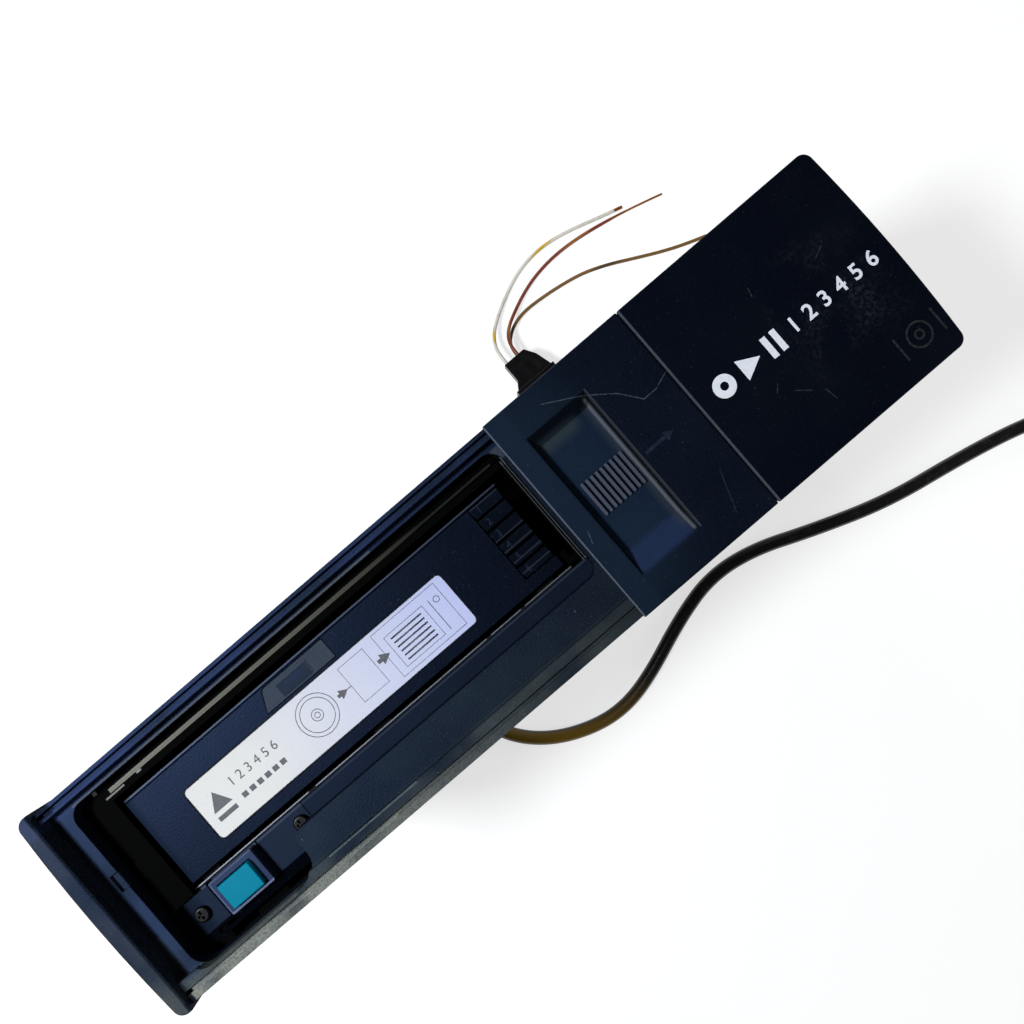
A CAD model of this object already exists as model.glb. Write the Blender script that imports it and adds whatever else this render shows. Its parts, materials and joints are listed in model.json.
import json
import math

import bmesh
import bpy
from mathutils import Matrix, Vector

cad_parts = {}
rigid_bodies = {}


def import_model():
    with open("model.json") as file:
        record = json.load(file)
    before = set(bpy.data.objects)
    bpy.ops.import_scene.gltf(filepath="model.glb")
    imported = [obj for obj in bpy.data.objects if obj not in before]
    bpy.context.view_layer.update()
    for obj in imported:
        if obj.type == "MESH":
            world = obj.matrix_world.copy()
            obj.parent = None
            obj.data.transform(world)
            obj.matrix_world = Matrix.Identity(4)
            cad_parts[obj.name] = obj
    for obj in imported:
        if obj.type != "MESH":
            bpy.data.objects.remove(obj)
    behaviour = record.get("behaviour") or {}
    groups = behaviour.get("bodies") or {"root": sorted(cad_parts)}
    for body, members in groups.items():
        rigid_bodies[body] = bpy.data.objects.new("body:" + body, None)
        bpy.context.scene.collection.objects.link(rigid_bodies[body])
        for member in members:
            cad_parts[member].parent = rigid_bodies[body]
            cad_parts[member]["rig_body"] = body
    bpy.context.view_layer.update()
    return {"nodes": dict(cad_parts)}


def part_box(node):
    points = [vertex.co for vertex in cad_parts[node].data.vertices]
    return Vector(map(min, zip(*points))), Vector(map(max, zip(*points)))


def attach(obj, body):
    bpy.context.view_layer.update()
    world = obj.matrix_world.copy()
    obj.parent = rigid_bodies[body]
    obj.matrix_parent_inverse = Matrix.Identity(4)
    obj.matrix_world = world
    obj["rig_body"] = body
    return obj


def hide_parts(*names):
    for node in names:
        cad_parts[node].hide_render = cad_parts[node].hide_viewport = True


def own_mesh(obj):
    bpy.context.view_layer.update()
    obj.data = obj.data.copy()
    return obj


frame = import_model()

scene = bpy.context.scene
scene.view_settings.view_transform = "Standard"

# ---------------------------------------- camera
# Looks straight down on the front face, which is turned up, with the changer lying
# across the picture from low left to high right.
camera_place = (0.0166, 0.0111, 0.487)
camera_turn = math.radians(-40.68)
camera_angle = math.radians(48.96)

camera_data = bpy.data.cameras.new("camera")
camera_data.angle = camera_angle
camera = bpy.data.objects.new("camera", camera_data)
camera.location = camera_place
camera.rotation_euler = (0, 0, camera_turn)
scene.collection.objects.link(camera)
scene.camera = camera

# ---------------------------------------- signal cable
# Round black PVC cable, moulded into its plug at one end and held by the rubber
# gland at the other. It comes out level, bends down to the floor and runs along it.
# One side of it has yellowed near the gland.
mm = 0.001
weld = 0.000001  # points of a mesh that are nearer than this, in metres, are one


def finish(name, colour, rough, metallic=0.0, specular=0.5, gloss=(1, 1, 1)):
    """A material of one colour and roughness, ready for marks. Gloss tints its shine."""
    material = bpy.data.materials.new(name)
    material.use_nodes = True
    shader = material.node_tree.nodes["Principled BSDF"]
    shader.inputs["Base Color"].default_value = (*colour, 1)
    shader.inputs["Roughness"].default_value = rough
    shader.inputs["Metallic"].default_value = metallic
    shader.inputs["Specular IOR Level"].default_value = specular
    shader.inputs["Specular Tint"].default_value = (*gloss, 1)
    return material


def add(material, kind, links=(), **values):
    """A new node. Links go to its inputs in turn; values set its own options."""
    made = material.node_tree.nodes.new("ShaderNode" + kind)
    for key, value in values.items():
        setattr(made, key, value)
    for key, source in enumerate(links):
        if isinstance(source, bpy.types.NodeSocket):
            material.node_tree.links.new(source, made.inputs[key])
        else:
            made.inputs[key].default_value = source
    return made


def where(material, stretch=(1, 1, 1)):
    """The point on the surface in the changer's own frame, stretched along its axes."""
    source = add(material, "TexCoord").outputs["Object"]
    made = add(material, "Mapping", [source])
    made.inputs["Scale"].default_value = stretch
    return made.outputs[0]


def clouds(material, scale, low, high, detail=4):
    """A soft mask: nothing where the noise is under low, full where it is over high."""
    noise = add(material, "TexNoise", [where(material)])
    noise.inputs["Scale"].default_value = scale
    noise.inputs["Detail"].default_value = detail
    return add(material, "MapRange", [noise.outputs[0], low, high]).outputs[0]


def part_of(material, mask, share):
    """The mask, no stronger than share. Share may be a second mask."""
    return add(material, "Math", [mask, share], operation="MULTIPLY").outputs[0]


def lay_over(material, mask, tone, rough=None, metallic=None):
    """Lay a second colour, and its gloss, over what is there, where the mask is full."""
    tree = material.node_tree
    shader = tree.nodes["Principled BSDF"]
    # the shader's socket, what comes over it, and the Mix node's kind, input and output
    plan = [("Base Color", (*tone, 1), "RGBA", 6, 2)]
    plan += [("Roughness", rough, "FLOAT", 2, 0)] if rough is not None else []
    plan += [("Metallic", metallic, "FLOAT", 2, 0)] if metallic is not None else []
    for socket_name, over, kind, first, out in plan:
        socket = shader.inputs[socket_name]
        mix = add(material, "Mix", [mask], data_type=kind)
        if socket.links:
            tree.links.new(socket.links[0].from_socket, mix.inputs[first])
        else:
            mix.inputs[first].default_value = socket.default_value
        mix.inputs[first + 1].default_value = over
        tree.links.new(mix.outputs[out], socket)


def clouded(material, noise, share, tone, rough=None):
    """Lay a second colour over a material in clouds. Noise is scale, low, high, detail."""
    lay_over(material, part_of(material, clouds(material, *noise), share), tone, rough)


def grain(material, scale, depth, detail=3, place=None):
    """Fine relief of that depth, in metres, over any relief the material has."""
    tree = material.node_tree
    normal = tree.nodes["Principled BSDF"].inputs["Normal"]
    noise = add(material, "TexNoise", [place or where(material)])
    noise.inputs["Scale"].default_value = scale
    noise.inputs["Detail"].default_value = detail
    bump = add(material, "Bump")
    bump.inputs["Distance"].default_value = depth
    tree.links.new(noise.outputs[0], bump.inputs["Height"])
    if normal.links:
        tree.links.new(normal.links[0].from_socket, bump.inputs["Normal"])
    tree.links.new(bump.outputs[0], normal)


def cord_curve(name, route, radius, thin_from=None, thin_share=1.0):
    """A round cord along its route's smooth line, thinner from one of its points on."""
    curve = bpy.data.curves.new(name, "CURVE")
    curve.dimensions = "3D"
    curve.bevel_depth = radius * mm
    curve.bevel_resolution = 8
    curve.resolution_u = 16
    curve.use_fill_caps = True
    spline = curve.splines.new("NURBS")
    spline.points.add(len(route) - 1)
    for number, (point, (x, y, z)) in enumerate(zip(spline.points, route)):
        point.co = (x * mm, y * mm, z * mm, 1)
        if thin_from is not None and number >= thin_from:
            point.radius = thin_share
    spline.order_u = 3
    spline.use_endpoint_u = True
    cord = bpy.data.objects.new(name, curve)
    scene.collection.objects.link(cord)
    return cord


cable_r = 3.0
cable_route = [
    (-50, -41.5, 10), (-49, -53, 10), (-42.5, -65, 8), (-31, -75.5, 5), (-15, -82.6, 3.2),
    (0, -84.2, 3), (16.5, -80.6, 3), (41.5, -70.8, 3), (63, -65.6, 3), (85, -68.8, 3),
    (110, -79.3, 3), (142, -90.6, 3), (176, -96.6, 3), (200, -101.8, 3.8),
    (216, -106.6, 7), (226, -109.6, 7),
]
amber = (0.20, 0.115, 0.002)
amber_full, amber_gone = 0.18, 0.40  # shares of the cable's length
amber_side, amber_reach = 0.25, 0.22  # its middle and half width, as shares of a turn

jacket = finish("cable_jacket", (0.006, 0.006, 0.007), rough=0.24)
clouded(jacket, (260, 0.5, 0.8), share=0.35, tone=(0.03, 0.03, 0.03), rough=0.5)
spot = add(jacket, "SeparateXYZ", [add(jacket, "TexCoord").outputs["UV"]])
near_end = add(jacket, "MapRange", [spot.outputs[0], amber_full, amber_gone, 1, 0])
one_side = add(jacket, "Math", [spot.outputs[1], amber_side, amber_reach], operation="COMPARE")
aged = part_of(jacket, near_end.outputs[0], one_side.outputs[0])
lay_over(jacket, part_of(jacket, aged, 0.9), amber, rough=0.4)
grain(jacket, scale=900, depth=0.00003)

signal_cable = cord_curve("signal_cable_jacket", cable_route, cable_r)
signal_cable.data.materials.append(jacket)
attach(signal_cable, "chassis")
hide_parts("signal_cable")


def eased(node, material, width, steps=2, hard=35, flat=0.6):
    """A copy of a node's mesh that stands for it: merged, with its hard edges rounded.

    Faces that meet within flat degrees are joined, and edges over hard degrees are hard.
    """
    source = frame["nodes"][node]
    mesh = source.data.copy()
    shape = bmesh.new()
    shape.from_mesh(mesh)
    bmesh.ops.remove_doubles(shape, verts=shape.verts, dist=weld)
    bmesh.ops.dissolve_limit(
        shape, angle_limit=math.radians(flat), verts=shape.verts, edges=shape.edges
    )
    bmesh.ops.recalc_face_normals(shape, faces=shape.faces)
    shape.to_mesh(mesh)
    shape.free()
    mesh.materials.clear()
    mesh.materials.append(material)
    mesh.shade_smooth()
    mesh.set_sharp_from_angle(angle=math.radians(hard))
    piece = bpy.data.objects.new(node + "_piece", mesh)
    scene.collection.objects.link(piece)
    ease = piece.modifiers.new("ease", "BEVEL")
    ease.width = width * mm
    ease.segments = steps
    ease.limit_method = "ANGLE"
    ease.angle_limit = math.radians(hard)
    level = piece.modifiers.new("level", "WEIGHTED_NORMAL")
    level.keep_sharp = True
    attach(piece, source["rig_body"])
    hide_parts(node)
    return piece


plug_plastic = finish("plug_plastic", (0.0015, 0.0015, 0.0020), rough=0.30, specular=0.16)
clouded(plug_plastic, (220, 0.45, 0.7), share=0.5, tone=(0.005, 0.005, 0.005), rough=0.5)
grain(plug_plastic, scale=1400, depth=0.00003)
cable_plug = eased("cable_plug", plug_plastic, width=0.25)

# ---------------------------------------- supply wires
# Three thin stranded copper wires in striped PVC, pushed out of the small plug on the
# cover side and cut to length. The white one and the red one are stripped at the end.
wire_r = 0.75
strand_share = 0.62
stripe_turns = 4.0
stripe_edge = (0.80, 0.86)
copper = (0.55, 0.22, 0.08)
unstripped = 2.0  # past the wire's end
# Length in metres, skin, stripe, the share of the length where the copper starts, the
# point of the route where the wire gets thinner, and the route in mm.
wires = {
    "white": (
        0.0995, (0.72, 0.70, 0.62), (0.62, 0.42, 0.02), 0.98, None,
        [(56, 60, 9), (56, 65, 9), (57.6, 70.4, 6.8), (61.8, 75.4, 4.2), (68.4, 79.9, 2),
         (76.6, 84.2, 0.9), (86, 88, 0.75), (96.5, 89.8, 0.75), (107.5, 88.9, 0.75),
         (118.5, 86.2, 0.75), (129, 82.8, 0.75), (138.6, 80.2, 0.75)],
    ),
    "red": (
        0.1066, (0.22, 0.035, 0.012), (0.30, 0.11, 0.02), 0.82, 10,
        [(62, 60, 10.2), (62, 64.4, 10.2), (63.8, 68.8, 8.4), (68, 72.6, 5.8),
         (74.2, 75.9, 3.2), (81.8, 79.3, 1.4), (91, 82, 0.8), (102, 83.2, 0.75),
         (114, 82.6, 0.75), (126, 80.6, 0.75), (137, 78.2, 0.75), (147, 75.6, 0.75),
         (155.4, 73.2, 0.75)],
    ),
    "brown": (
        0.1096, (0.19, 0.095, 0.02), (0.07, 0.035, 0.01), unstripped, None,
        [(62, 60, 5.6), (62, 64, 5.6), (64.2, 67.8, 4.2), (69.2, 71.4, 2.4),
         (76.6, 73.4, 1.1), (86, 73, 0.75), (97, 71.6, 0.75), (107.5, 69.4, 0.75),
         (117.5, 65.4, 0.75), (127.5, 60.2, 0.75), (138, 54.8, 0.75),
         (148.5, 50.2, 0.75), (158.5, 46.8, 0.75)],
    ),
}


def wire_finish(name, skin, stripe, stripped_from):
    """Coloured wire with a thin stripe that winds along it, and bare copper at its end."""
    material = finish(name, skin, rough=0.38)
    clouded(material, (420, 0.5, 0.7), share=0.4, tone=[0.5 * c for c in skin], rough=0.55)
    along = add(material, "SeparateXYZ", [add(material, "TexCoord").outputs["UV"]])
    wound = add(material, "Math", [along.outputs[0], stripe_turns, along.outputs[1]],
                operation="MULTIPLY_ADD")
    turn = add(material, "Math", [wound.outputs[0], 1.0], operation="PINGPONG")
    band = add(material, "MapRange", [turn.outputs[0], *stripe_edge])
    lay_over(material, band.outputs[0], stripe)
    bare = add(material, "Math", [along.outputs[0], stripped_from], operation="GREATER_THAN")
    lay_over(material, bare.outputs[0], copper, rough=0.32, metallic=1.0)
    grain(material, scale=1500, depth=0.00002)
    return material


for colour_name, (wire_length, skin, stripe, stripped_from, thin_from, route) in wires.items():
    node = "wire_" + colour_name
    wire = cord_curve(node + "_lead", route, wire_r, thin_from, strand_share)
    wire.data.materials.append(wire_finish(node, skin, stripe, stripped_from))
    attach(wire, "chassis")
    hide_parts(node)

# ---------------------------------------- floor and light
# A plain white table in a dim room, which the camera sees as white. A small bright lamp
# stands high on the left of the changer, and two large weak ones right of and behind it.
floor_size = 3.0
table_glow = 0.66
room_light = 0.05
room_glow = 1.0
lamps = {  # place and size in metres, power, tint
    "lamp_left": ((-0.49, 0.24, 1.15), 0.16, 11.5, (0.94, 0.97, 1.0)),
    "lamp_right": ((1.05, -0.75, 0.62), 0.8, 5.0, (1.0, 0.99, 0.97)),
    "lamp_back": ((0.10, 1.25, 0.62), 0.8, 5.0, (1.0, 1.0, 1.0)),
}

table = finish("table_white", (0.46, 0.46, 0.46), rough=0.9, specular=0.1)
clouded(table, (8, 0.3, 0.8), share=0.3, tone=(0.44, 0.44, 0.44))
rays = add(table, "LightPath")
shown = add(table, "Math", [rays.outputs["Is Camera Ray"], rays.outputs["Is Glossy Ray"]],
            operation="MAXIMUM")
shown = add(table, "Math", [shown.outputs[0], rays.outputs["Is Transmission Ray"]],
            operation="MAXIMUM")
table_shader = table.node_tree.nodes["Principled BSDF"]
table_shader.inputs["Emission Color"].default_value = (1, 1, 1, 1)
table.node_tree.links.new(
    part_of(table, shown.outputs[0], table_glow), table_shader.inputs["Emission Strength"]
)
table_shape = bmesh.new()
bmesh.ops.create_grid(table_shape, x_segments=1, y_segments=1, size=floor_size / 2)
table_mesh = bpy.data.meshes.new("table")
table_shape.to_mesh(table_mesh)
table_shape.free()
table_mesh.materials.append(table)
table_top = bpy.data.objects.new("table", table_mesh)
scene.collection.objects.link(table_top)

for lamp_name, (place, size, power, tint) in lamps.items():
    lamp_data = bpy.data.lights.new(lamp_name, "AREA")
    lamp_data.shape = "SQUARE"
    lamp_data.size = size
    lamp_data.energy = power
    lamp_data.color = tint
    lamp = bpy.data.objects.new(lamp_name, lamp_data)
    lamp.location = place
    lamp.rotation_euler = (-Vector(place)).to_track_quat("-Z", "Y").to_euler()
    scene.collection.objects.link(lamp)

room = bpy.data.worlds.new("room")
room.use_nodes = True
walls = room.node_tree.nodes["Background"]
walls.inputs["Color"].default_value = (1, 1, 1, 1)
seen_rays = room.node_tree.nodes.new("ShaderNodeLightPath")
wall_light = room.node_tree.nodes.new("ShaderNodeMapRange")
wall_light.inputs["To Min"].default_value = room_light
wall_light.inputs["To Max"].default_value = room_glow
room.node_tree.links.new(seen_rays.outputs["Is Camera Ray"], wall_light.inputs["Value"])
room.node_tree.links.new(wall_light.outputs["Result"], walls.inputs["Strength"])
scene.world = room

# ---------------------------------------- sheet casing
# Rear panel, bottom tray and top cover are folded from 1 mm zinc-plated steel. Clinch
# nuts are pressed into the end walls. Black pan screws hold the cover, and two more
# the loader plate.
zinc = finish("zinc_sheet", (0.40, 0.42, 0.44), rough=0.42, metallic=1.0)
spangle = add(zinc, "TexVoronoi", [where(zinc)])
spangle.inputs["Scale"].default_value = 160
facets = add(zinc, "MapRange", [spangle.outputs["Color"], 0.35, 0.65])
lay_over(zinc, part_of(zinc, facets.outputs[0], 0.3), (0.52, 0.54, 0.56), rough=0.36)
clouded(zinc, (22, 0.48, 0.75, 6), share=0.3, tone=(0.30, 0.30, 0.29), rough=0.55)
clouded(zinc, (900, 0.66, 0.72), share=0.5, tone=(0.12, 0.11, 0.10), rough=0.7)
grain(zinc, scale=1100, depth=0.000012, place=where(zinc, (1, 1, 0.08)))
for node in ("rear_panel", "bottom_casing", "top_cover"):
    eased(node, zinc, width=0.15)
eased("clinch_nuts", zinc, width=0.12)

oxide = finish("black_oxide", (0.0015, 0.0015, 0.0020), rough=0.30, specular=0.20)
clouded(oxide, (1500, 0.60, 0.7), share=0.4, tone=(0.006, 0.006, 0.006), rough=0.45)
grain(oxide, scale=2500, depth=0.00001)
eased("pan_screws", oxide, width=0.10)

# ---------------------------------------- vent felt
# Thin black dust felt, glued inside the rear panel over its row of vent slots. It
# keeps light and dust out of the magazine bay.
felt_size = (84.0, 30.0)
felt_top = 1.45
felt_thick = 0.2
felt_wave = 0.08
felt_ripple = (1.9, 1.4)

felt = finish("vent_felt", (0.004, 0.004, 0.004), rough=0.9, specular=0.1)
clouded(felt, (900, 0.45, 0.7), share=0.6, tone=(0.009, 0.009, 0.008), rough=0.95)
grain(felt, scale=2200, depth=0.0001)
felt_shape = bmesh.new()
bmesh.ops.create_grid(
    felt_shape, x_segments=round(felt_size[0]), y_segments=round(felt_size[1]), size=0.5
)
for corner in felt_shape.verts:
    x, y = corner.co.x * felt_size[0], corner.co.y * felt_size[1]
    wave = felt_wave * math.sin(felt_ripple[0] * x) * math.sin(felt_ripple[1] * y)
    corner.co = Vector((x, y, felt_top + wave - felt_wave)) * mm
felt_mesh = bpy.data.meshes.new("vent_felt")
felt_shape.to_mesh(felt_mesh)
felt_shape.free()
felt_mesh.materials.append(felt)
vent_felt = bpy.data.objects.new("vent_felt", felt_mesh)
scene.collection.objects.link(vent_felt)
felt_body = vent_felt.modifiers.new("thick", "SOLIDIFY")
felt_body.thickness = felt_thick * mm
felt_body.offset = -1
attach(vent_felt, "chassis")

# ---------------------------------------- board and sockets
# Green epoxy board with black chips and sockets soldered on, the moulded side socket
# with the wires' plug in it, and the rubber gland that holds the signal cable.
laminate = finish("board_laminate", (0.008, 0.075, 0.030), rough=0.32)
tracks = add(laminate, "TexVoronoi", [where(laminate)], feature="DISTANCE_TO_EDGE")
tracks.inputs["Scale"].default_value = 210
lines = add(laminate, "MapRange", [tracks.outputs[0], 0.06, 0.04])
lay_over(laminate, part_of(laminate, lines.outputs[0], 0.7), (0.02, 0.16, 0.06), rough=0.28)
clouded(laminate, (60, 0.5, 0.7), share=0.3, tone=(0.05, 0.08, 0.05), rough=0.6)
grain(laminate, scale=1800, depth=0.00001)
eased("main_board", laminate, width=0.08)

chip = finish("chip_black", (0.016, 0.016, 0.017), rough=0.48)
clouded(chip, (700, 0.5, 0.7), share=0.4, tone=(0.04, 0.04, 0.04), rough=0.6)
grain(chip, scale=2200, depth=0.000015)
eased("board_parts", chip, width=0.15)

rubber = finish("gland_rubber", (0.012, 0.012, 0.012), rough=0.68, specular=0.35)
clouded(rubber, (150, 0.45, 0.75), share=0.4, tone=(0.04, 0.038, 0.035), rough=0.85)
grain(rubber, scale=1300, depth=0.00004)
eased("cable_gland", rubber, width=0.25)

for node in ("side_socket", "wire_plug"):
    eased(node, plug_plastic, width=0.2)


# ---------------------------------------- magazine bay
# Black moulded cage round the magazine, standing in the casing, with a floor of dark
# sheet steel. The magazine rubs the bead above it and the floor's front edge bright.
def span(material, axis, ends, soft):
    """A mask that is full between two places along one axis, in mm, with soft ends."""
    start, end = ends
    reach = add(material, "SeparateXYZ", [where(material)]).outputs[axis]
    rise = add(material, "MapRange", [reach, (start - soft) * mm, (start + soft) * mm],
               interpolation_type="SMOOTHSTEP")
    fall = add(material, "MapRange", [reach, (end - soft) * mm, (end + soft) * mm, 1, 0],
               interpolation_type="SMOOTHSTEP")
    return part_of(material, rise.outputs[0], fall.outputs[0])


def fading(material, axis, full, gone):
    """A mask that is full at one place along an axis, in mm, and gone at the other."""
    reach = add(material, "SeparateXYZ", [where(material)]).outputs[axis]
    return add(material, "MapRange", [reach, full * mm, gone * mm, 1, 0]).outputs[0]


def patches(material, rows, rough=0.5):
    """Lay worn or shaded patches over a material: x and y spans in mm, tone, share, soft."""
    for x, y, tone, share, soft in rows:
        area = part_of(material, span(material, "X", x, soft), span(material, "Y", y, soft))
        lay_over(material, part_of(material, area, share), tone, rough)


bead_x, bead_y = (-119.3, 21.0), (24.6, 25.8)

bay_plastic = finish("bay_plastic", (0.0004, 0.0005, 0.0005), rough=0.6, specular=0.02)
clouded(bay_plastic, (90, 0.5, 0.8), share=0.5, tone=(0.0010, 0.0012, 0.0012), rough=0.7)
bead_wear = part_of(bay_plastic, fading(bay_plastic, "X", -118, -5),
                    span(bay_plastic, "Y", bead_y, 0.15))
bead_wear = part_of(bay_plastic, bead_wear, span(bay_plastic, "X", bead_x, 0.2))
lay_over(bay_plastic, bead_wear, (0.40, 0.40, 0.34), rough=0.4)
patches(bay_plastic, [
    ((-119.0, 20.5), (24.8, 25.5), (0.03, 0.034, 0.028), 0.5, 0.15),  # bead
    ((-121.5, -115.0), (23.7, 24.2), (0.30, 0.30, 0.28), 0.8, 0.12),  # glints left
    ((-123.6, -122.4), (26.9, 27.9), (0.50, 0.50, 0.50), 0.8, 0.2),
    ((-110.2, -108.6), (24.0, 24.6), (0.45, 0.45, 0.45), 0.8, 0.2),
    ((23.0, 23.3), (-29.0, 24.0), (0.10, 0.11, 0.12), 0.8, 0.08),  # edges right
    ((23.8, 24.1), (-29.0, 25.0), (0.12, 0.13, 0.14), 0.8, 0.08),
], rough=0.4)
grain(bay_plastic, scale=1800, depth=0.00002)
eased("bay_frame", bay_plastic, width=0.2)

floor_edge_runs = ((-121.0, -78.3), (-75.6, -12.2), (-10.4, 0.6), (2.2, 19.3))
floor_edge_y, floor_edge_z = (-11.5, -10.3), (169.5, 171.0)
lug_top_y, lug_top_z = (-10.9, -9.0), (168.8, 169.45)

dark_steel = finish("dark_steel", (0.006, 0.007, 0.009), rough=0.55, metallic=0.3, specular=0.1)
clouded(dark_steel, (80, 0.5, 0.8), share=0.4, tone=(0.012, 0.013, 0.015), rough=0.6)
edge_shine = part_of(dark_steel, fading(dark_steel, "X", -150, 90),
                     span(dark_steel, "Y", floor_edge_y, 0.12))
for run in floor_edge_runs:
    shine = part_of(dark_steel, span(dark_steel, "X", run, 0.3), edge_shine)
    shine = part_of(dark_steel, shine, span(dark_steel, "Z", floor_edge_z, 0.2))
    lay_over(dark_steel, shine, (0.42, 0.45, 0.54), rough=0.5)
lug_tops = part_of(dark_steel, span(dark_steel, "Y", lug_top_y, 0.2),
                   span(dark_steel, "Z", lug_top_z, 0.05))
lay_over(dark_steel, lug_tops, (0.0006, 0.0007, 0.0009), rough=1.0, metallic=0.0)
grain(dark_steel, scale=1500, depth=0.00001)
eased("bay_floor", dark_steel, width=0.12)

# ---------------------------------------- loader plate
# Painted steel plate below the bay, screwed to a moulded base that stands in the
# casing. A moulded collar on the plate guides the eject button.
blue_gloss = (0.27, 0.46, 1.0)  # the tint of the shine on black plastic and on paint
plate_x, plate_gap_y = (-131.0, -82.0), (-27.0, -11.9)
collar_x = (-115.2, -99.8)

collar_plastic = finish("collar_plastic", (0.020, 0.028, 0.062), rough=0.42, specular=0.3,
                        gloss=blue_gloss)
clouded(collar_plastic, (140, 0.4, 0.75), share=0.5, tone=(0.032, 0.042, 0.080), rough=0.5)
patches(collar_plastic, [
    ((-115.4, -114.7), (-23.6, -12.2), (0.10, 0.12, 0.22), 0.8, 0.12),  # left rim
    (collar_x, (-23.6, -22.8), (0.17, 0.20, 0.32), 0.8, 0.12),  # lower rim
    (collar_x, (-12.8, -12.2), (0.08, 0.10, 0.18), 0.8, 0.12),  # upper rim
])
grain(collar_plastic, scale=1600, depth=0.00002)
eased("eject_bezel", collar_plastic, width=0.2, steps=3)

loader_steel = finish("loader_steel", (0.004, 0.006, 0.011), rough=0.44, specular=0.16,
                      gloss=blue_gloss)
clouded(loader_steel, (60, 0.45, 0.75), share=0.5, tone=(0.008, 0.011, 0.020), rough=0.5)
patches(loader_steel, [
    (plate_x, (-23.2, -12.0), (0.010, 0.015, 0.026), 0.8, 0.1),  # part around the collar
    (plate_x, (-12.8, -12.2), (0.06, 0.075, 0.11), 0.7, 0.12),  # its upper edge
    ((-82.0, 24.0), (-12.8, -12.3), (0.03, 0.04, 0.06), 0.7, 0.12),  # edge further right
    ((-131.0, -122.0), (-24.0, -11.8), (0.0010, 0.0014, 0.0020), 0.9, 2.0),  # shade left
])
patches(loader_steel, [
    ((-117.4, -115.0), plate_gap_y, (0.0003, 0.0004, 0.0005), 1.0, 0.1),  # left of collar
    ((-99.0, -98.5), plate_gap_y, (0.0003, 0.0004, 0.0005), 1.0, 0.08),  # right of it
    ((-82.2, -81.9), plate_gap_y, (0.0006, 0.0008, 0.0012), 0.9, 0.08),  # step
    ((-131.5, -60.0), (-27.0, -23.4), (0.0002, 0.0003, 0.0003), 1.0, 0.1),  # below it
], rough=1.0)
clouded(loader_steel, (2200, 0.66, 0.72), share=0.3, tone=(0.05, 0.055, 0.06), rough=0.7)
grain(loader_steel, scale=1500, depth=0.00001)
eased("loader_plate", loader_steel, width=0.1)
eased("loader_base", bay_plastic, width=0.15)

button_plastic = finish("button_plastic", (0.0, 0.22, 0.34), rough=0.40, specular=0.05)
clouded(button_plastic, (300, 0.5, 0.8), share=0.4, tone=(0.0, 0.25, 0.37), rough=0.5)
grain(button_plastic, scale=1500, depth=0.00002)
eased("eject_button", button_plastic, width=0.35, steps=3)

nylon = finish("nylon", (0.60, 0.58, 0.50), rough=0.44)
clouded(nylon, (120, 0.4, 0.8), share=0.4, tone=(0.46, 0.43, 0.34), rough=0.55)
grain(nylon, scale=1600, depth=0.00002)
eased("eject_lever", nylon, width=0.15)

bright = finish("ground_steel", (0.56, 0.56, 0.57), rough=0.24, metallic=1.0)
clouded(bright, (500, 0.45, 0.7), share=0.4, tone=(0.36, 0.35, 0.33), rough=0.38)
grain(bright, scale=2400, depth=0.000006)
spring_shape = bmesh.new()
spring_shape.from_mesh(frame["nodes"]["eject_spring"].data)
bmesh.ops.remove_doubles(spring_shape, verts=spring_shape.verts, dist=weld)
spring_mesh = bpy.data.meshes.new("eject_spring_coil")
spring_shape.to_mesh(spring_mesh)
spring_shape.free()
spring_mesh.materials.clear()
spring_mesh.materials.append(bright)
spring_mesh.shade_smooth()
eject_coil = bpy.data.objects.new("eject_spring_coil", spring_mesh)
scene.collection.objects.link(eject_coil)
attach(eject_coil, "chassis")
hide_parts("eject_spring")
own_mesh(eject_coil)


# ---------------------------------------- mechanism
# Folded steel frame of the playing half, on rubber isolators, with springs on its
# roof. Two motors turn screws, whose nuts push the nylon cams that lift the deck and
# lower the clamp. The laser sled runs on two rods, driven by a screw of its own.
def dress(node, material):
    """Give a CAD node its material."""
    data = frame["nodes"][node].data
    data.materials.clear()
    data.materials.append(material)


for node, material in (("mech_frame", dark_steel), ("deck_plate", zinc), ("clamp_plate", zinc)):
    eased(node, material, width=0.12)
for node in ("deck_motor", "clamp_motor", "spindle_motor", "sled_motor"):
    eased(node, zinc, width=0.15)
eased("isolators", rubber, width=0.2)

for node in ("suspension_springs", "lift_posts", "guide_rods", "lead_screw",
             "deck_screw", "clamp_screw"):
    dress(node, bright)

for node in ("deck_cam", "clamp_cam", "turntable", "clamp_puck",
             "angle_dial_left", "angle_dial_right"):
    eased(node, nylon, width=0.15)

sled_plastic = finish("sled_plastic", (0.014, 0.014, 0.015), rough=0.40)
clouded(sled_plastic, (300, 0.5, 0.8), share=0.4, tone=(0.035, 0.035, 0.035), rough=0.55)
grain(sled_plastic, scale=1700, depth=0.00002)
eased("laser_sled", sled_plastic, width=0.15)

glass = finish("lens_glass", (0.02, 0.05, 0.16), rough=0.05, specular=0.8)
clouded(glass, (800, 0.4, 0.7), share=0.4, tone=(0.06, 0.02, 0.14), rough=0.08)
dress("sled_lens", glass)


# ---------------------------------------- magazine
# Glossy black moulded box with a lid glued on, which holds the disc trays. The catch
# that the thumb presses has a raised, darker pad with an arrow on it.
def specks(material, tone, share, scale=1700, rarity=0.70):
    """Sparse pale dust on a surface."""
    dust = clouds(material, scale, rarity, rarity + 0.04, detail=2)
    lay_over(material, part_of(material, dust, share), tone, rough=0.75)


pale_dust = (0.08, 0.09, 0.10)
top_edge_y, top_edge_z = (20.0, 20.8), (170.5, 173.0)
shaded_end = ((-123.0, -117.4), (-12.0, 21.0))
catch_pad = ((-65.4, -54.8), (13.2, 17.4))

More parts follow.
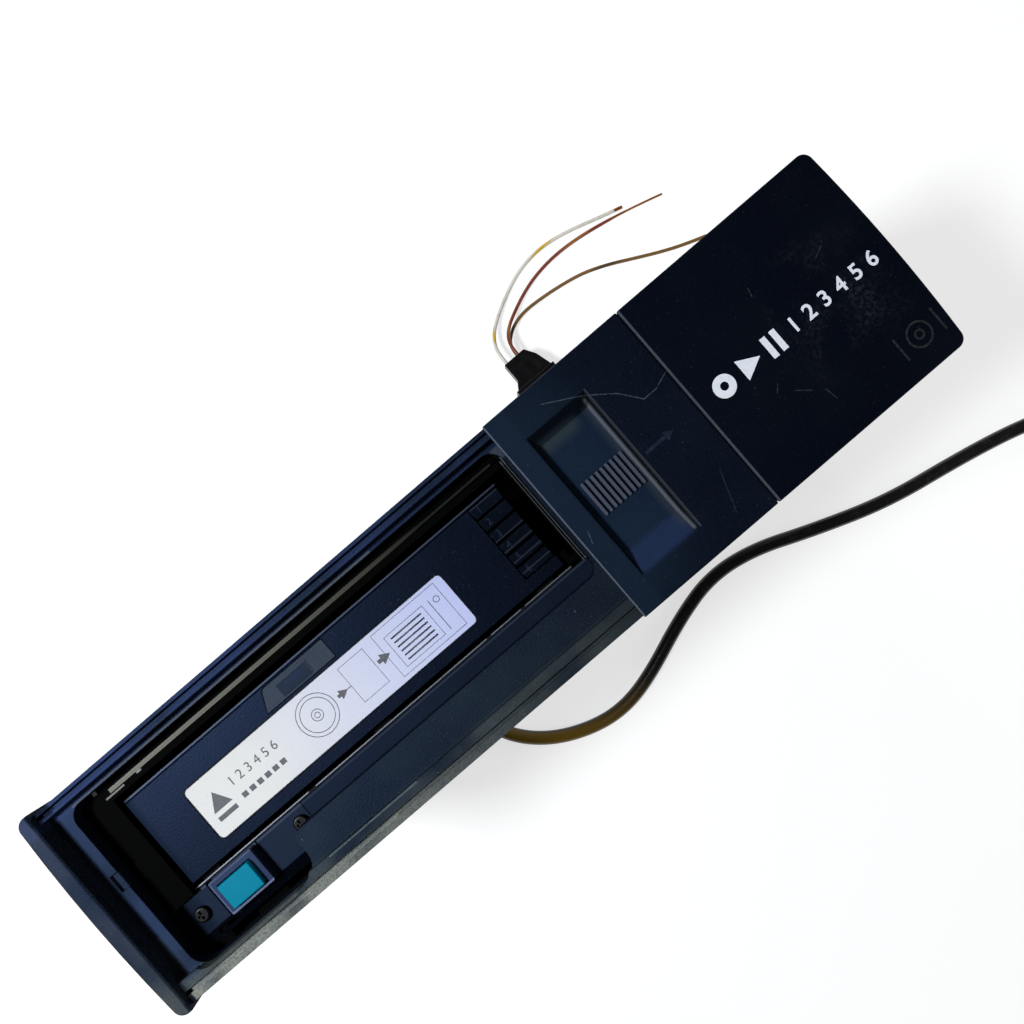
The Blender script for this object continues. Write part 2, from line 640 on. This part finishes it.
magazine_plastic = finish("magazine_plastic", (0.0007, 0.0010, 0.0022), rough=0.36,
                          specular=0.15, gloss=blue_gloss)
clouded(magazine_plastic, (70, 0.5, 0.8), share=0.5, tone=(0.0020, 0.0028, 0.0048), rough=0.43)
clouded(magazine_plastic, (2600, 0.45, 0.65, 2), share=0.5, tone=(0.004, 0.006, 0.011),
        rough=0.42)
tinge = part_of(magazine_plastic, clouds(magazine_plastic, 24, 0.35, 0.65, 3), 0.5)
tinge = part_of(magazine_plastic, tinge, fading(magazine_plastic, "X", -110, 0))
lay_over(magazine_plastic, tinge, (0.005, 0.004, 0.012), rough=0.42)
top_edge = part_of(magazine_plastic, fading(magazine_plastic, "X", -125, 60),
                   span(magazine_plastic, "Y", top_edge_y, 0.1))
top_edge = part_of(magazine_plastic, top_edge, span(magazine_plastic, "Z", top_edge_z, 0.3))
lay_over(magazine_plastic, top_edge, (0.13, 0.16, 0.24), rough=0.5)
patches(magazine_plastic, [(*shaded_end, (0.0003, 0.0004, 0.0006), 0.85, 1.4)])
specks(magazine_plastic, pale_dust, share=0.35)
grain(magazine_plastic, scale=1600, depth=0.00003)
eased("magazine_case", magazine_plastic, width=0.25)
eased("magazine_lid", magazine_plastic, width=0.3, steps=3)

catch_plastic = finish("catch_plastic", (0.034, 0.040, 0.044), rough=0.42, specular=0.17,
                       gloss=blue_gloss)
clouded(catch_plastic, (160, 0.4, 0.75), share=0.5, tone=(0.058, 0.064, 0.070), rough=0.5)
patches(catch_plastic, [(*catch_pad, (0.010, 0.014, 0.020), 0.85, 0.15)])
specks(catch_plastic, pale_dust, share=0.35)
grain(catch_plastic, scale=1600, depth=0.00003)
eased("magazine_catch", catch_plastic, width=0.15)


def thin_mesh(shape, place, name, material, body, flatten=1.0):
    """Turn a flat curve or text into a thin mesh, set it in place and let it ride."""
    scene.collection.objects.link(shape)
    bpy.context.view_layer.update()
    seen = shape.evaluated_get(bpy.context.evaluated_depsgraph_get())
    mesh = bpy.data.meshes.new_from_object(seen)
    bpy.data.objects.remove(shape)
    mesh.transform(Matrix.Diagonal((1, 1, flatten, 1)))
    mesh.transform(Matrix.Translation(Vector(place) * mm))
    closed = bmesh.new()
    closed.from_mesh(mesh)
    bmesh.ops.remove_doubles(closed, verts=closed.verts, dist=weld / 2)
    bmesh.ops.recalc_face_normals(closed, faces=closed.faces)
    closed.to_mesh(mesh)
    closed.free()
    mesh.materials.clear()
    mesh.materials.append(material)
    piece = bpy.data.objects.new(name, mesh)
    scene.collection.objects.link(piece)
    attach(piece, body)


def filled(outlines, thick):
    """A flat filled shape. An outline is its points, or a circle's centre and radius."""
    curve = bpy.data.curves.new("filled", "CURVE")
    curve.dimensions = "2D"
    curve.fill_mode = "BOTH"
    curve.extrude = thick / 2 * mm
    for points in outlines:
        if len(points) == 3 and not isinstance(points[0], tuple):
            x, y, r = points
            spline = curve.splines.new("BEZIER")
            spline.bezier_points.add(3)
            rim = ((x + r, y), (x, y + r), (x - r, y), (x, y - r))
            for knot, (px, py) in zip(spline.bezier_points, rim):
                knot.co = (px * mm, py * mm, 0)
                knot.handle_left_type = knot.handle_right_type = "AUTO"
        else:
            spline = curve.splines.new("POLY")
            spline.points.add(len(points) - 1)
            for knot, (px, py) in zip(spline.points, points):
                knot.co = (px * mm, py * mm, 0, 1)
        spline.use_cyclic_u = True
    return bpy.data.objects.new("filled", curve)


def arrow(x, y, length, height, shaft):
    """The outline of an arrow that points right from x, with a head as tall as height."""
    neck = x + length - 0.9 * height
    return ((x, y - shaft / 2), (neck, y - shaft / 2), (neck, y - height / 2),
            (x + length, y), (neck, y + height / 2), (neck, y + shaft / 2), (x, y + shaft / 2))


relief = 0.06

rubbed = finish("rubbed_edges", (0.006, 0.009, 0.015), rough=0.50, specular=0.3,
                gloss=blue_gloss)
clouded(rubbed, (900, 0.45, 0.65), share=0.7, tone=(0.018, 0.024, 0.036), rough=0.6)
grain(rubbed, scale=1600, depth=0.00002)
catch_low, catch_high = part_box("magazine_catch")
catch_middle = (catch_low + catch_high) / 2 / mm
thin_mesh(
    filled([arrow(-3.4, 0, 6.8, 2.8, 1.0)], relief),
    (catch_middle.x, catch_middle.y, catch_high.z / mm), "catch_arrow", rubbed, "catch",
)


# ---------------------------------------- disc trays
# Six thin moulded trays, one above the other. Each has a tab at the front corner, with
# its number raised on it, and the tabs' edges are rubbed by the fingers.
def figures(text, size, thick, bold=0.0, spacing=1.0):
    """Numbers, as a flat shape centred on its own origin."""
    words = bpy.data.curves.new("figures", "FONT")
    words.body = text
    words.size = size * mm
    words.extrude = thick / 2 * mm
    words.offset = bold * mm
    words.space_character = spacing
    words.align_x = "CENTER"
    words.align_y = "CENTER"
    return bpy.data.objects.new("figures", words)


tray_count = 6
tray_pitch = 3.83
tray_top = 19.0
tab_x = (4.0, 18.0)
tab_figure_x = 10.0
tab_figure_size = 3.0

tray_plastic = finish("tray_plastic", (0.0008, 0.0012, 0.0018), rough=0.36, specular=0.14,
                      gloss=blue_gloss)
clouded(tray_plastic, (120, 0.5, 0.8), share=0.5, tone=(0.0030, 0.0036, 0.0042), rough=0.5)
tab_edges = [tray_top - tray_pitch * k for k in range(tray_count + 1)]
patches(tray_plastic, [
    (tab_x, (y - 0.25, y + 0.15), (0.03, 0.035, 0.045), 0.6, 0.08) for y in tab_edges
])
specks(tray_plastic, pale_dust, share=0.3)
grain(tray_plastic, scale=1600, depth=0.00002)
for number in range(1, tray_count + 1):
    node = f"disc_tray_{number}"
    eased(node, tray_plastic, width=0.18)
    low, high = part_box(node)
    thin_mesh(
        figures(str(number), tab_figure_size, relief),
        (tab_figure_x, (low.y + high.y) / 2 / mm, high.z / mm),
        f"tray_number_{number}", rubbed, f"tray_{number}",
    )

# ---------------------------------------- magazine label
# White paper label, glued in a shallow field, with thin grey line drawings of a disc
# and of a stack of trays that slides into its slot.
paper = finish("label_paper", (0.77, 0.78, 0.77), rough=0.5, specular=0.2)
clouded(paper, (60, 0.4, 0.8), share=0.35, tone=(0.71, 0.72, 0.73), rough=0.55)
clouded(paper, (1400, 0.64, 0.72), share=0.35, tone=(0.50, 0.51, 0.54), rough=0.7)
blue_end = part_of(paper, fading(paper, "X", -8, -85), 0.9)
lay_over(paper, blue_end, (0.48, 0.54, 0.90), rough=0.5)
grain(paper, scale=2200, depth=0.00001)
eased("magazine_label", paper, width=0.05)

ink = finish("label_ink", (0.055, 0.060, 0.075), rough=0.5)
clouded(ink, (1200, 0.5, 0.7), share=0.5, tone=(0.12, 0.125, 0.14), rough=0.55)
grain(ink, scale=2000, depth=0.000005)
rim_black = finish("label_rim", (0.004, 0.005, 0.010), rough=0.5, specular=0.3)
clouded(rim_black, (900, 0.5, 0.7), share=0.5, tone=(0.012, 0.014, 0.022), rough=0.55)


def strokes(lines, width):
    """Line art as round strokes. A line is its points, closed where the last is the first."""
    curve = bpy.data.curves.new("strokes", "CURVE")
    curve.dimensions = "3D"
    curve.bevel_depth = width / 2 * mm
    curve.bevel_resolution = 1
    curve.use_fill_caps = True
    for points in lines:
        closed = points[0] == points[-1]
        run = points[:-1] if closed else points
        spline = curve.splines.new("POLY")
        spline.points.add(len(run) - 1)
        for knot, (px, py) in zip(spline.points, run):
            knot.co = (px * mm, py * mm, 0, 1)
        spline.use_cyclic_u = closed
    return bpy.data.objects.new("strokes", curve)


def bar(x, y):
    """The corners of an upright rectangle from its two spans."""
    return ((x[0], y[0]), (x[1], y[0]), (x[1], y[1]), (x[0], y[1]))


def boxed(x, y):
    """A closed rectangle line."""
    corners = list(bar(x, y))
    return corners + corners[:1]


def round_line(x, y, r, corners):
    """A closed round line."""
    turns = [2 * math.pi * k / corners for k in range(corners)]
    points = [(x + r * math.cos(t), y + r * math.sin(t)) for t in turns]
    return points + points[:1]


def round_box(size, r, inset, steps=6):
    """The points of a rectangle from the origin with round corners, set in by inset."""
    points = []
    for cx, cy, start in ((size.x - r, size.y - r, 0), (r, size.y - r, 90), (r, r, 180),
                          (size.x - r, r, 270)):
        for step in range(steps + 1):
            t = math.radians(start + 90 / steps * step)
            points.append((cx + (r - inset) * math.cos(t), cy + (r - inset) * math.sin(t)))
    return points


# Places on the label, in mm from its lower left corner.
print_thick = 0.04
middle_y = 9.4
disc_x = 43
disc_rings = ((6.2, 40), (5.0, 36), (1.7, 24), (0.8, 16))  # radius and corners
slot_x, slot_low, slot_pitch = (72.5, 83.5), 4.6, 1.5
mark_left, mark_right, mark_pitch, mark_y = 12.4, 14.2, 2.8, (5.0, 6.6)

slots = [[(x, slot_low + slot_pitch * k) for x in slot_x] for k in range(tray_count)]
drawing = [
    *[round_line(disc_x, middle_y, *ring) for ring in disc_rings],
    boxed((55.5, 64.5), (3.4, 15.4)), [(55.5, middle_y), (53.2, middle_y)],
    boxed((71, 85), (3.2, 13.6)), boxed((68.5, 91.5), (1.6, 16.4)),
    [(87.2, 3.2), (87.2, 13.6)], round_line(89.4, 12.4, 0.9, 16),
]
signs = [
    arrow(50.6, middle_y, 3.6, 3.0, 1.0), arrow(65.4, middle_y, 4.4, 3.4, 1.2),
    bar((3.0, 9.6), (4.2, 5.6)), ((3.0, 7.0), (9.6, 7.0), (6.3, 12.4)),
]
marks = [
    bar((mark_left + mark_pitch * k, mark_right + mark_pitch * k), mark_y)
    for k in range(tray_count)
]
tray_numbers = " ".join(str(number) for number in range(1, tray_count + 1))

label_low, label_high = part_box("magazine_label")
label_corner = Vector((label_low.x, label_low.y, label_high.z)) / mm
rim = round_box((label_high - label_low) / mm, r=1.6, inset=0.05)
for shape, place, name, material, flatten in (
    (strokes([rim + rim[:1]], 0.34), label_corner, "label_rim", rim_black, 0.15),
    (strokes(drawing, 0.22), label_corner, "label_drawing", ink, 0.15),
    (strokes(slots, 0.5), label_corner, "label_trays", ink, 0.08),
    (filled(signs, print_thick), label_corner, "label_signs", ink, 1.0),
    (figures(tray_numbers, 4.0, print_thick), label_corner + Vector((20.4, 11.0, 0)),
     "label_figures", ink, 1.0),
    (filled(marks, print_thick), label_corner, "label_marks", ink, 1.0),
):
    thin_mesh(shape, place, name, material, "magazine", flatten)

# ---------------------------------------- front fascia
# Moulded black ABS cap on the casing's front end, with the rails that the door slides
# on, the long opening of the bay and a lip at its left end. The door rubs its rails grey.
in_shade = (0.0003, 0.0004, 0.0006)
lower_rail_x, lower_rail_y = (-133.0, 30.0), (-33.6, -29.6)
opening_x, opening_y, opening_z = (-129.7, 27), (-30.2, 30.2), (100, 179.7)

fascia_plastic = finish("fascia_plastic", (0.0014, 0.0022, 0.0034), rough=0.46, specular=0.22,
                        gloss=blue_gloss)
for axis, ends, tone, share in (
    ("Y", (-26.6, -14.0), (0.018, 0.028, 0.030), 0.8),  # deck below the opening
    ("Y", (-34.5, -26.8), (0.110, 0.132, 0.110), 0.8),  # lower rail
    ("Y", (27.5, 34.5), (0.032, 0.054, 0.180), 0.75),  # upper rail
    ("X", (-132.0, -125.5), (0.026, 0.044, 0.110), 0.8),  # deck beside the lip
    ("X", (-141.0, -135.2), (0.048, 0.054, 0.066), 0.8),  # lip
):
    rubbing = clouds(fascia_plastic, 55, 0.30, 0.70, 6)
    fade = fading(fascia_plastic, "X", -150, 110)
    worn = part_of(fascia_plastic, span(fascia_plastic, axis, ends, 0.6), rubbing)
    worn = part_of(fascia_plastic, worn, fade)
    lay_over(fascia_plastic, part_of(fascia_plastic, worn, share), tone, rough=0.55)
patches(fascia_plastic, [
    ((-127.0, -20.0), (27.9, 28.7), (0.11, 0.12, 0.12), 0.7, 0.2),  # above the opening
    ((-130.0, -60.0), (-31.0, -30.6), (0.26, 0.30, 0.27), 0.7, 0.12),  # rail's inner edge
    ((-81.0, -50.0), (-27.4, -27.0), (0.16, 0.20, 0.19), 0.6, 0.12),  # deck's lower edge
    ((22.5, 25.4), (24.0, 27.6), (0.10, 0.12, 0.14), 0.4, 0.3),  # opening's right corner
    ((-140.2, -139.5), (-34.0, 30.0), (0.05, 0.055, 0.05), 0.6, 0.2),  # lip's outer edge
    ((-93.0, -90.0), (30.0, 32.6), (0.004, 0.005, 0.008), 0.8, 0.6),  # dark spot
    ((-141.0, -135.0), (-35.0, -24.0), (0.075, 0.078, 0.066), 0.7, 5.0),  # lip's low end
    ((-132.0, -94.0), (-30.2, -27.6), (0.085, 0.095, 0.080), 0.6, 0.6),  # deck low left
])
patches(fascia_plastic, [
    ((-135.6, -133.2), (-35.0, 35.0), in_shade, 0.85, 0.4),  # the lip's foot
    ((-135.6, -129.6), (30.2, 33.4), in_shade, 0.8, 0.5),  # its upper corner
    ((-135.6, -129.0), (-33.4, -31.4), in_shade, 0.8, 0.5),  # its lower corner
], rough=0.9)
rail_shine = part_of(fascia_plastic, span(fascia_plastic, "Y", lower_rail_y, 0.25),
                     fading(fascia_plastic, "X", -138, -15))
rail_shine = part_of(fascia_plastic, rail_shine, clouds(fascia_plastic, 90, 0.2, 0.6, 4))
rail_shine = part_of(fascia_plastic, rail_shine, span(fascia_plastic, "X", lower_rail_x, 0.4))
lay_over(fascia_plastic, rail_shine, (0.34, 0.35, 0.29), rough=0.5)
clouded(fascia_plastic, (2400, 0.45, 0.65, 3), share=0.5, tone=(0.014, 0.021, 0.026), rough=0.5)
opening_walls = part_of(fascia_plastic, span(fascia_plastic, "Z", opening_z, 0.12),
                        span(fascia_plastic, "Y", opening_y, 0.3))
opening_walls = part_of(fascia_plastic, opening_walls,
                        span(fascia_plastic, "X", opening_x, 0.2))
lay_over(fascia_plastic, opening_walls, (0.0003, 0.0004, 0.0004), rough=1.0)
specks(fascia_plastic, (0.11, 0.13, 0.14), share=0.4)
specks(fascia_plastic, (0.22, 0.24, 0.26), share=0.4, scale=700, rarity=0.76)
grain(fascia_plastic, scale=1500, depth=0.00005)
eased("front_fascia", fascia_plastic, width=0.15)


# ---------------------------------------- sliding door
# Two thin moulded leaves that slide over each other in the rails. The outer one has
# the scooped finger grip with its ribs, and a raised arrow.
def scratch(material, start, end, width):
    """A mask along one straight scratch, from point to point on the front, in mm."""
    a = Vector((*start, 0)) * mm
    run = Vector((*end, 0)) * mm - a
    spot = add(material, "VectorMath", [where(material, (1, 1, 0)), a], operation="SUBTRACT")
    share = add(material, "VectorMath", [spot.outputs[0], run / run.length_squared],
                operation="DOT_PRODUCT")
    share = add(material, "Clamp", [share.outputs["Value"]])
    back = add(material, "VectorMath", [run], operation="SCALE")
    material.node_tree.links.new(share.outputs[0], back.inputs["Scale"])
    away = add(material, "VectorMath", [spot.outputs[0], back.outputs[0]], operation="DISTANCE")
    line = add(material, "MapRange", [away.outputs["Value"], 0.2 * width * mm, width * mm, 1, 0])
    return line.outputs[0]


def scratches(material, lines, tone, share, width):
    """Lay scuffed lines over a material, broken up by fine noise."""
    broken = clouds(material, 1300, 0.30, 0.55)
    for start, end in lines:
        mark = part_of(material, scratch(material, start, end, width), broken)
        lay_over(material, part_of(material, mark, share), tone, rough=0.6)


def door_finish(name):
    """Moulded black plastic, cloudy from handling."""
    material = finish(name, (0.0010, 0.0017, 0.0034), rough=0.43, specular=0.20,
                      gloss=blue_gloss)
    clouded(material, (40, 0.40, 0.75, 6), share=0.6, tone=(0.0030, 0.0055, 0.0110), rough=0.5)
    clouded(material, (2400, 0.45, 0.65, 3), share=0.3, tone=(0.006, 0.010, 0.017), rough=0.5)
    return material


rib_x, rib_y = (34.0, 50.2), (-6.4, 4.8)
rib_top = 184.3
leaf_y = (-34.0, 34.0)

door_plastic = door_finish("door_plastic")
patches(door_plastic, [
    ((25.0, 32.0), leaf_y, (0.008, 0.016, 0.030), 0.5, 1.2),  # strip left of the scoop
    ((25.0, 45.0), leaf_y, (0.005, 0.011, 0.019), 0.7, 14.0),  # wide soft wear
    ((25.0, 25.6), (-33.6, 33.6), (0.11, 0.13, 0.17), 0.8, 0.1),  # left edge
    ((32.6, 50.0), (-17.4, 19.3), (0.0060, 0.0135, 0.0270), 0.8, 0.6),  # scoop
    ((32.6, 50.5), (-24.4, -17.4), (0.012, 0.022, 0.060), 0.8, 1.0),  # its lower end
    ((34.0, 46.0), (16.6, 20.0), (0.024, 0.033, 0.034), 0.8, 1.8),  # its upper end
    ((32.6, 52.0), (21.0, 23.3), (0.002, 0.003, 0.004), 0.9, 0.6),  # shade above it
    ((49.0, 50.8), (-22.0, 20.0), (0.026, 0.031, 0.040), 0.7, 1.3),  # right slope
    ((50.6, 51.3), (-24.0, 21.6), (0.13, 0.14, 0.14), 0.75, 0.5),  # right rim
    ((52.2, 52.7), (-24.6, 23.4), (0.05, 0.055, 0.060), 0.7, 0.1),  # line beside it
    ((31.9, 32.7), (-24.4, 23.4), (0.0004, 0.0005, 0.0008), 1.0, 0.25),  # left rim
])
rib_tops = part_of(door_plastic, span(door_plastic, "Z", (rib_top - 0.35, rib_top + 0.3), 0.1),
                   span(door_plastic, "Y", rib_y, 0.2))
rib_tops = part_of(door_plastic, rib_tops, span(door_plastic, "X", rib_x, 0.2))
lay_over(door_plastic, rib_tops, (0.060, 0.066, 0.090), rough=0.5)
scratches(
    door_plastic,
    [((41.2, 27.8), (52.0, 21.9)), ((52.2, 21.6), (58.4, 16.9)), ((58.4, 16.9), (63.0, 11.0)),
     ((63.0, 11.0), (67.2, 11.0)), ((67.2, 11.0), (72.2, 12.8)), ((28.6, -6.0), (27.4, -9.4))],
    (0.085, 0.115, 0.130), share=0.65, width=0.18,
)
scratches(door_plastic, [((66.0, -16.5), (62.0, -28.0))], (0.030, 0.040, 0.045), share=0.6,
          width=0.2)
leaf_plastic = door_finish("door_leaf_plastic")
for node, material in (("door_grip_leaf", door_plastic), ("door_rear_leaf", leaf_plastic)):
    specks(material, (0.11, 0.13, 0.14), share=0.25)
    grain(material, scale=1500, depth=0.00004)
    eased(node, material, width=0.15)

ink_thick = 0.02
arrow_sunk = 0.008
door_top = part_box("door_grip_leaf")[1].z / mm
thin_mesh(
    filled([arrow(53.9, -0.3, 9.6, 3.0, 1.0)], ink_thick),
    (0, 0, door_top - arrow_sunk), "door_arrow", rubbed, "door_grip",
)

# ---------------------------------------- front panel
# Flat moulded panel fixed on the fascia's right end, over the parked door leaves. It is
# printed in white with plain signs and numbers, and has a ring raised in its corner.
dust_x, dust_y = (104.0, 132.0), (-16.0, 14.0)

panel_plastic = finish("panel_plastic", (0.0008, 0.0013, 0.0030), rough=0.42, specular=0.16,
                       gloss=blue_gloss)
clouded(panel_plastic, (38, 0.45, 0.8, 6), share=0.6, tone=(0.0030, 0.0036, 0.0044), rough=0.5)
patches(panel_plastic, [((72.4, 73.2), (-33.6, 33.6), (0.07, 0.08, 0.10), 0.8, 0.12)])
smudges = part_of(panel_plastic, clouds(panel_plastic, 850, 0.42, 0.72, 8),
                  clouds(panel_plastic, 110, 0.46, 0.66, 8))
smudges = part_of(panel_plastic, smudges, span(panel_plastic, "X", dust_x, 8.0))
smudges = part_of(panel_plastic, smudges, span(panel_plastic, "Y", dust_y, 6.0))
lay_over(panel_plastic, part_of(panel_plastic, smudges, 0.6), (0.028, 0.030, 0.034), rough=0.6)
clouded(panel_plastic, (2400, 0.45, 0.65, 3), share=0.3, tone=(0.004, 0.005, 0.009), rough=0.5)
scratches(
    panel_plastic,
    [((95.0, -13.5), (98.6, -16.5)), ((103.2, 15.4), (102.6, 13.0)), ((91.0, -11.0), (92.6, -9.2)),
     ((101.5, -18.6), (102.2, -22.4)), ((122.0, 9.6), (125.4, 11.2))],
    (0.060, 0.067, 0.074), share=0.5, width=0.22,
)
specks(panel_plastic, (0.10, 0.11, 0.12), share=0.2)
specks(panel_plastic, (0.20, 0.22, 0.24), share=0.3, scale=700, rarity=0.78)
grain(panel_plastic, scale=1500, depth=0.00003)
eased("front_panel", panel_plastic, width=0.15)

sign_y = (-3.7, 2.9)
sign_middle = sum(sign_y) / 2
ring_x, ring_y = 130.0, -23.8
ring_bar_out, ring_bar_width, ring_bar_height = 6.5, 0.6, 7.2
print_sunk = 0.004
print_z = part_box("front_panel")[1].z / mm - print_sunk
print_place = (0, 0, print_z)

white_ink = finish("white_ink", (0.74, 0.78, 0.86), rough=0.45)
clouded(white_ink, (1100, 0.5, 0.7), share=0.4, tone=(0.52, 0.56, 0.64), rough=0.55)
grain(white_ink, scale=2200, depth=0.000004)
thin_mesh(
    filled([(81.5, sign_middle, 3.3), (81.5, sign_middle, 1.2),
            ((87.6, sign_y[0]), (94.0, sign_middle), (87.6, sign_y[1])),
            bar((96.4, 98.2), sign_y), bar((99.6, 101.4), sign_y)], ink_thick),
    print_place, "panel_signs", white_ink, "chassis",
)
thin_mesh(figures(tray_numbers, 6.2, ink_thick, bold=0.12, spacing=1.1),
          (119.8, -0.2, print_z), "panel_figures", white_ink, "chassis")

ring_bars = [
    bar((x - ring_bar_width / 2, x + ring_bar_width / 2),
        (ring_y - ring_bar_height / 2, ring_y + ring_bar_height / 2))
    for x in (ring_x - ring_bar_out, ring_x + ring_bar_out)
]
dusty = finish("dusty_relief", (0.004, 0.006, 0.008), rough=0.5, specular=0.3)
clouded(dusty, (1400, 0.40, 0.62), share=0.8, tone=(0.016, 0.021, 0.024), rough=0.6)
grain(dusty, scale=1600, depth=0.00001)
thin_mesh(
    filled([(ring_x, ring_y, r) for r in (3.8, 3.2, 1.5, 0.9)] + ring_bars, ink_thick),
    print_place, "panel_ring", dusty, "chassis",
)
